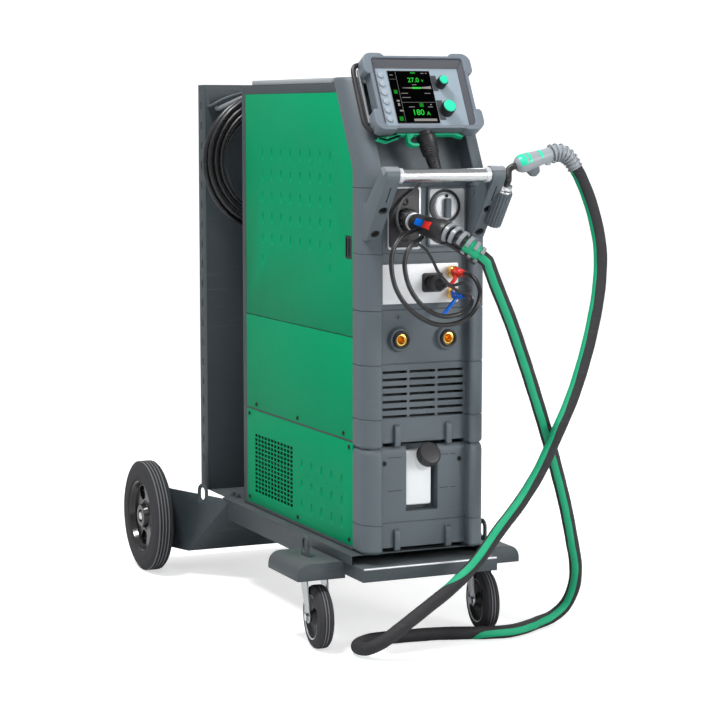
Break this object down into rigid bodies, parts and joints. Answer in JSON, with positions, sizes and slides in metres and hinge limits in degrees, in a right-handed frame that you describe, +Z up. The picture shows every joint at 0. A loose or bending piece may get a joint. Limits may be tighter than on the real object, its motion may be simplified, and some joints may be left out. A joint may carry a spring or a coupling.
{
  "type": "mig welder on cart",
  "caption": "Upright wire-feed welding machine on its coolant unit and wheeled cart, with hanging control box, torch, hoses, wire-feed bay and gas bottle tray.",
  "frame": {"origin": "on the floor, under the middle of the cart with its welder, cords left out", "axes": "+Z up, -Y out of the front panel, -X out of the door of the wire bay"},
  "size_m": [0.646, 1.2436, 1.1504],
  "materials": {
    "green_paint": "smooth semi-gloss paint",
    "dark_sheet_paint": "satin powder coat",
    "grey_moulding": "fine-grained moulding",
    "brushed_tube": "brushed and anodised",
    "zinc_plate": "zinc plated",
    "black_plastic": "matt",
    "rubber": "matt",
    "tyre_rubber": "matt",
    "white_tank": "translucent white",
    "red_plastic": "gloss",
    "blue_plastic": "gloss",
    "welding_wire": "copper coated wire"
  },
  "bodies": {
    "cart": {"cart_platform": "dark_sheet_paint", "front_crossmember": "dark_sheet_paint", "bottle_tray": "dark_sheet_paint", "bottle_column": "dark_sheet_paint", "cooler_case": "dark_sheet_paint", "cooler_side_left": "green_paint", "cooler_side_right": "green_paint", "cooler_front": "grey_moulding", "coolant_tank": "white_tank", "main_case": "dark_sheet_paint", "top_cover": "grey_moulding", "side_panel_left": "green_paint", "side_panel_right": "green_paint", "front_lower": "grey_moulding", "front_upper": "grey_moulding", "handle_arm_left": "grey_moulding", "handle_arm_right": "grey_moulding", "handle_tube": "brushed_tube", "weld_socket_plus": "black_plastic", "weld_socket_minus": "black_plastic", "multi_pin_plug": "black_plastic", "coupling_red": "red_plastic", "coupling_blue": "blue_plastic", "torch_plug": "black_plastic", "torch_neck": "black_plastic", "torch_handle": "grey_moulding", "torch_boot": "rubber", "panel_case": "grey_moulding", "feed_plate": "brushed_tube", "torch_hose": "rubber", "water_hose_red": "rubber", "water_hose_blue": "rubber", "panel_lead": "rubber", "mains_lead": "rubber", "mains_plug": "blue_plastic"},
    "rear_wheel_left": {"rear_wheel_left": "tyre_rubber"},
    "rear_wheel_right": {"rear_wheel_right": "tyre_rubber"},
    "caster_fork_left": {"caster_fork_left": "zinc_plate"},
    "caster_fork_right": {"caster_fork_right": "zinc_plate"},
    "caster_wheel_left": {"caster_wheel_left": "tyre_rubber"},
    "caster_wheel_right": {"caster_wheel_right": "tyre_rubber"},
    "wire_door": {"wire_door": "green_paint"},
    "door_latch": {"door_latch": "black_plastic"},
    "coolant_cap": {"coolant_cap": "black_plastic"},
    "main_switch": {"main_switch": "grey_moulding"},
    "panel_knob_small": {"panel_knob_small": "black_plastic"},
    "panel_knob_large": {"panel_knob_large": "black_plastic"},
    "torch_trigger": {"torch_trigger": "black_plastic"},
    "drive_roll_front": {"drive_roll_front": "zinc_plate"},
    "drive_roll_rear": {"drive_roll_rear": "zinc_plate"},
    "pressure_arm": {"pressure_arm": "zinc_plate"},
    "pressure_roll_front": {"pressure_roll_front": "zinc_plate"},
    "pressure_roll_rear": {"pressure_roll_rear": "zinc_plate"},
    "wire_spool": {"wire_spool": "welding_wire"},
    "panel_button_1": {"panel_button_1": "white_tank"},
    "panel_button_2": {"panel_button_2": "white_tank"},
    "panel_button_3": {"panel_button_3": "white_tank"},
    "panel_button_4": {"panel_button_4": "white_tank"},
    "panel_button_5": {"panel_button_5": "white_tank"},
    "panel_button_6": {"panel_button_6": "white_tank"}
  },
  "joints": [
    {"name": "rear_wheel_left_spin", "type": "hinge", "parent": "cart", "child": "rear_wheel_left", "pos_m": [-0.248, 0.456, 0.125], "axis": [1, 0, 0], "continuous": true},
    {"name": "caster_left_swivel", "type": "hinge", "parent": "cart", "child": "caster_fork_left", "pos_m": [-0.18, -0.341, 0.16], "axis": [0, 0, 1], "continuous": true},
    {"name": "caster_left_spin", "type": "hinge", "parent": "caster_fork_left", "child": "caster_wheel_left", "pos_m": [-0.18439, -0.38277, 0.0625], "axis": [0.9945, -0.1045, 0], "continuous": true},
    {"name": "rear_wheel_right_spin", "type": "hinge", "parent": "cart", "child": "rear_wheel_right", "pos_m": [0.248, 0.456, 0.125], "axis": [1, 0, 0], "continuous": true},
    {"name": "caster_right_swivel", "type": "hinge", "parent": "cart", "child": "caster_fork_right", "pos_m": [0.18, -0.341, 0.16], "axis": [0, 0, 1], "continuous": true},
    {"name": "caster_right_spin", "type": "hinge", "parent": "caster_fork_right", "child": "caster_wheel_right", "pos_m": [0.17561, -0.38277, 0.0625], "axis": [0.9945, -0.1045, 0], "continuous": true},
    {"name": "door_hinge", "type": "hinge", "parent": "cart", "child": "wire_door", "pos_m": [-0.1315, 0.137, 0.611], "axis": [0, 0, -1], "range_deg": [0, 110]},
    {"name": "latch_slide", "type": "slide", "parent": "wire_door", "child": "door_latch", "axis": [0, 1, 0], "range_m": [0, 0.008]},
    {"name": "cap_turn", "type": "hinge", "parent": "cart", "child": "coolant_cap", "pos_m": [0.00725, -0.46686, 0.37778], "axis": [0, -0.8829, 0.4695], "continuous": true},
    {"name": "switch_turn", "type": "hinge", "parent": "cart", "child": "main_switch", "pos_m": [0.044, -0.4663, 0.86], "axis": [0, -1, 0], "range_deg": [0, 90]},
    {"name": "button_1_press", "type": "slide", "parent": "cart", "child": "panel_button_1", "axis": [0, 0.8847, -0.4662], "range_m": [0, 0.001], "stiffness_N_per_m": 800, "springref_m": -0.001},
    {"name": "button_2_press", "type": "slide", "parent": "cart", "child": "panel_button_2", "axis": [0, 0.8847, -0.4662], "range_m": [0, 0.001], "stiffness_N_per_m": 800, "springref_m": -0.001},
    {"name": "button_3_press", "type": "slide", "parent": "cart", "child": "panel_button_3", "axis": [0, 0.8847, -0.4662], "range_m": [0, 0.001], "stiffness_N_per_m": 800, "springref_m": -0.001},
    {"name": "button_4_press", "type": "slide", "parent": "cart", "child": "panel_button_4", "axis": [0, 0.8847, -0.4662], "range_m": [0, 0.001], "stiffness_N_per_m": 800, "springref_m": -0.001},
    {"name": "button_5_press", "type": "slide", "parent": "cart", "child": "panel_button_5", "axis": [0, 0.8847, -0.4662], "range_m": [0, 0.001], "stiffness_N_per_m": 800, "springref_m": -0.001},
    {"name": "button_6_press", "type": "slide", "parent": "cart", "child": "panel_button_6", "axis": [0, 0.8847, -0.4662], "range_m": [0, 0.001], "stiffness_N_per_m": 800, "springref_m": -0.001},
    {"name": "knob_small_turn", "type": "hinge", "parent": "cart", "child": "panel_knob_small", "pos_m": [0.044, -0.44386, 1.09161], "axis": [0, -0.8847, 0.4662], "continuous": true},
    {"name": "knob_large_turn", "type": "hinge", "parent": "cart", "child": "panel_knob_large", "pos_m": [0.044, -0.46997, 1.04207], "axis": [0, -0.8847, 0.4662], "continuous": true},
    {"name": "trigger_pull", "type": "hinge", "parent": "cart", "child": "torch_trigger", "pos_m": [0.17535, -0.5505, 0.92907], "axis": [0, -1, 0], "range_deg": [0, 7], "stiffness_Nm_per_rad": 2, "springref_deg": -8.59},
    {"name": "drive_roll_front_spin", "type": "hinge", "parent": "cart", "child": "drive_roll_front", "pos_m": [-0.04, -0.372, 0.822], "axis": [1, 0, 0], "continuous": true},
    {"name": "drive_roll_rear_spin", "type": "hinge", "parent": "cart", "child": "drive_roll_rear", "pos_m": [-0.04, -0.319, 0.822], "axis": [1, 0, 0], "continuous": true},
    {"name": "pressure_arm_lift", "type": "hinge", "parent": "cart", "child": "pressure_arm", "pos_m": [-0.055, -0.286, 0.866], "axis": [-1, 0, 0], "range_deg": [0, 60]},
    {"name": "pressure_roll_front_spin", "type": "hinge", "parent": "pressure_arm", "child": "pressure_roll_front", "pos_m": [-0.04, -0.372, 0.854], "axis": [1, 0, 0], "continuous": true},
    {"name": "pressure_roll_rear_spin", "type": "hinge", "parent": "pressure_arm", "child": "pressure_roll_rear", "pos_m": [-0.04, -0.319, 0.854], "axis": [1, 0, 0], "continuous": true},
    {"name": "spool_spin", "type": "hinge", "parent": "cart", "child": "wire_spool", "pos_m": [-0.067, -0.044, 0.886], "axis": [1, 0, 0], "continuous": true}
  ],
  "couplings": [
    {"joint": "drive_roll_rear_spin", "follows": "drive_roll_front_spin", "ratio": 1},
    {"joint": "pressure_roll_front_spin", "follows": "drive_roll_front_spin", "ratio": -1},
    {"joint": "pressure_roll_rear_spin", "follows": "drive_roll_front_spin", "ratio": -1}
  ]
}
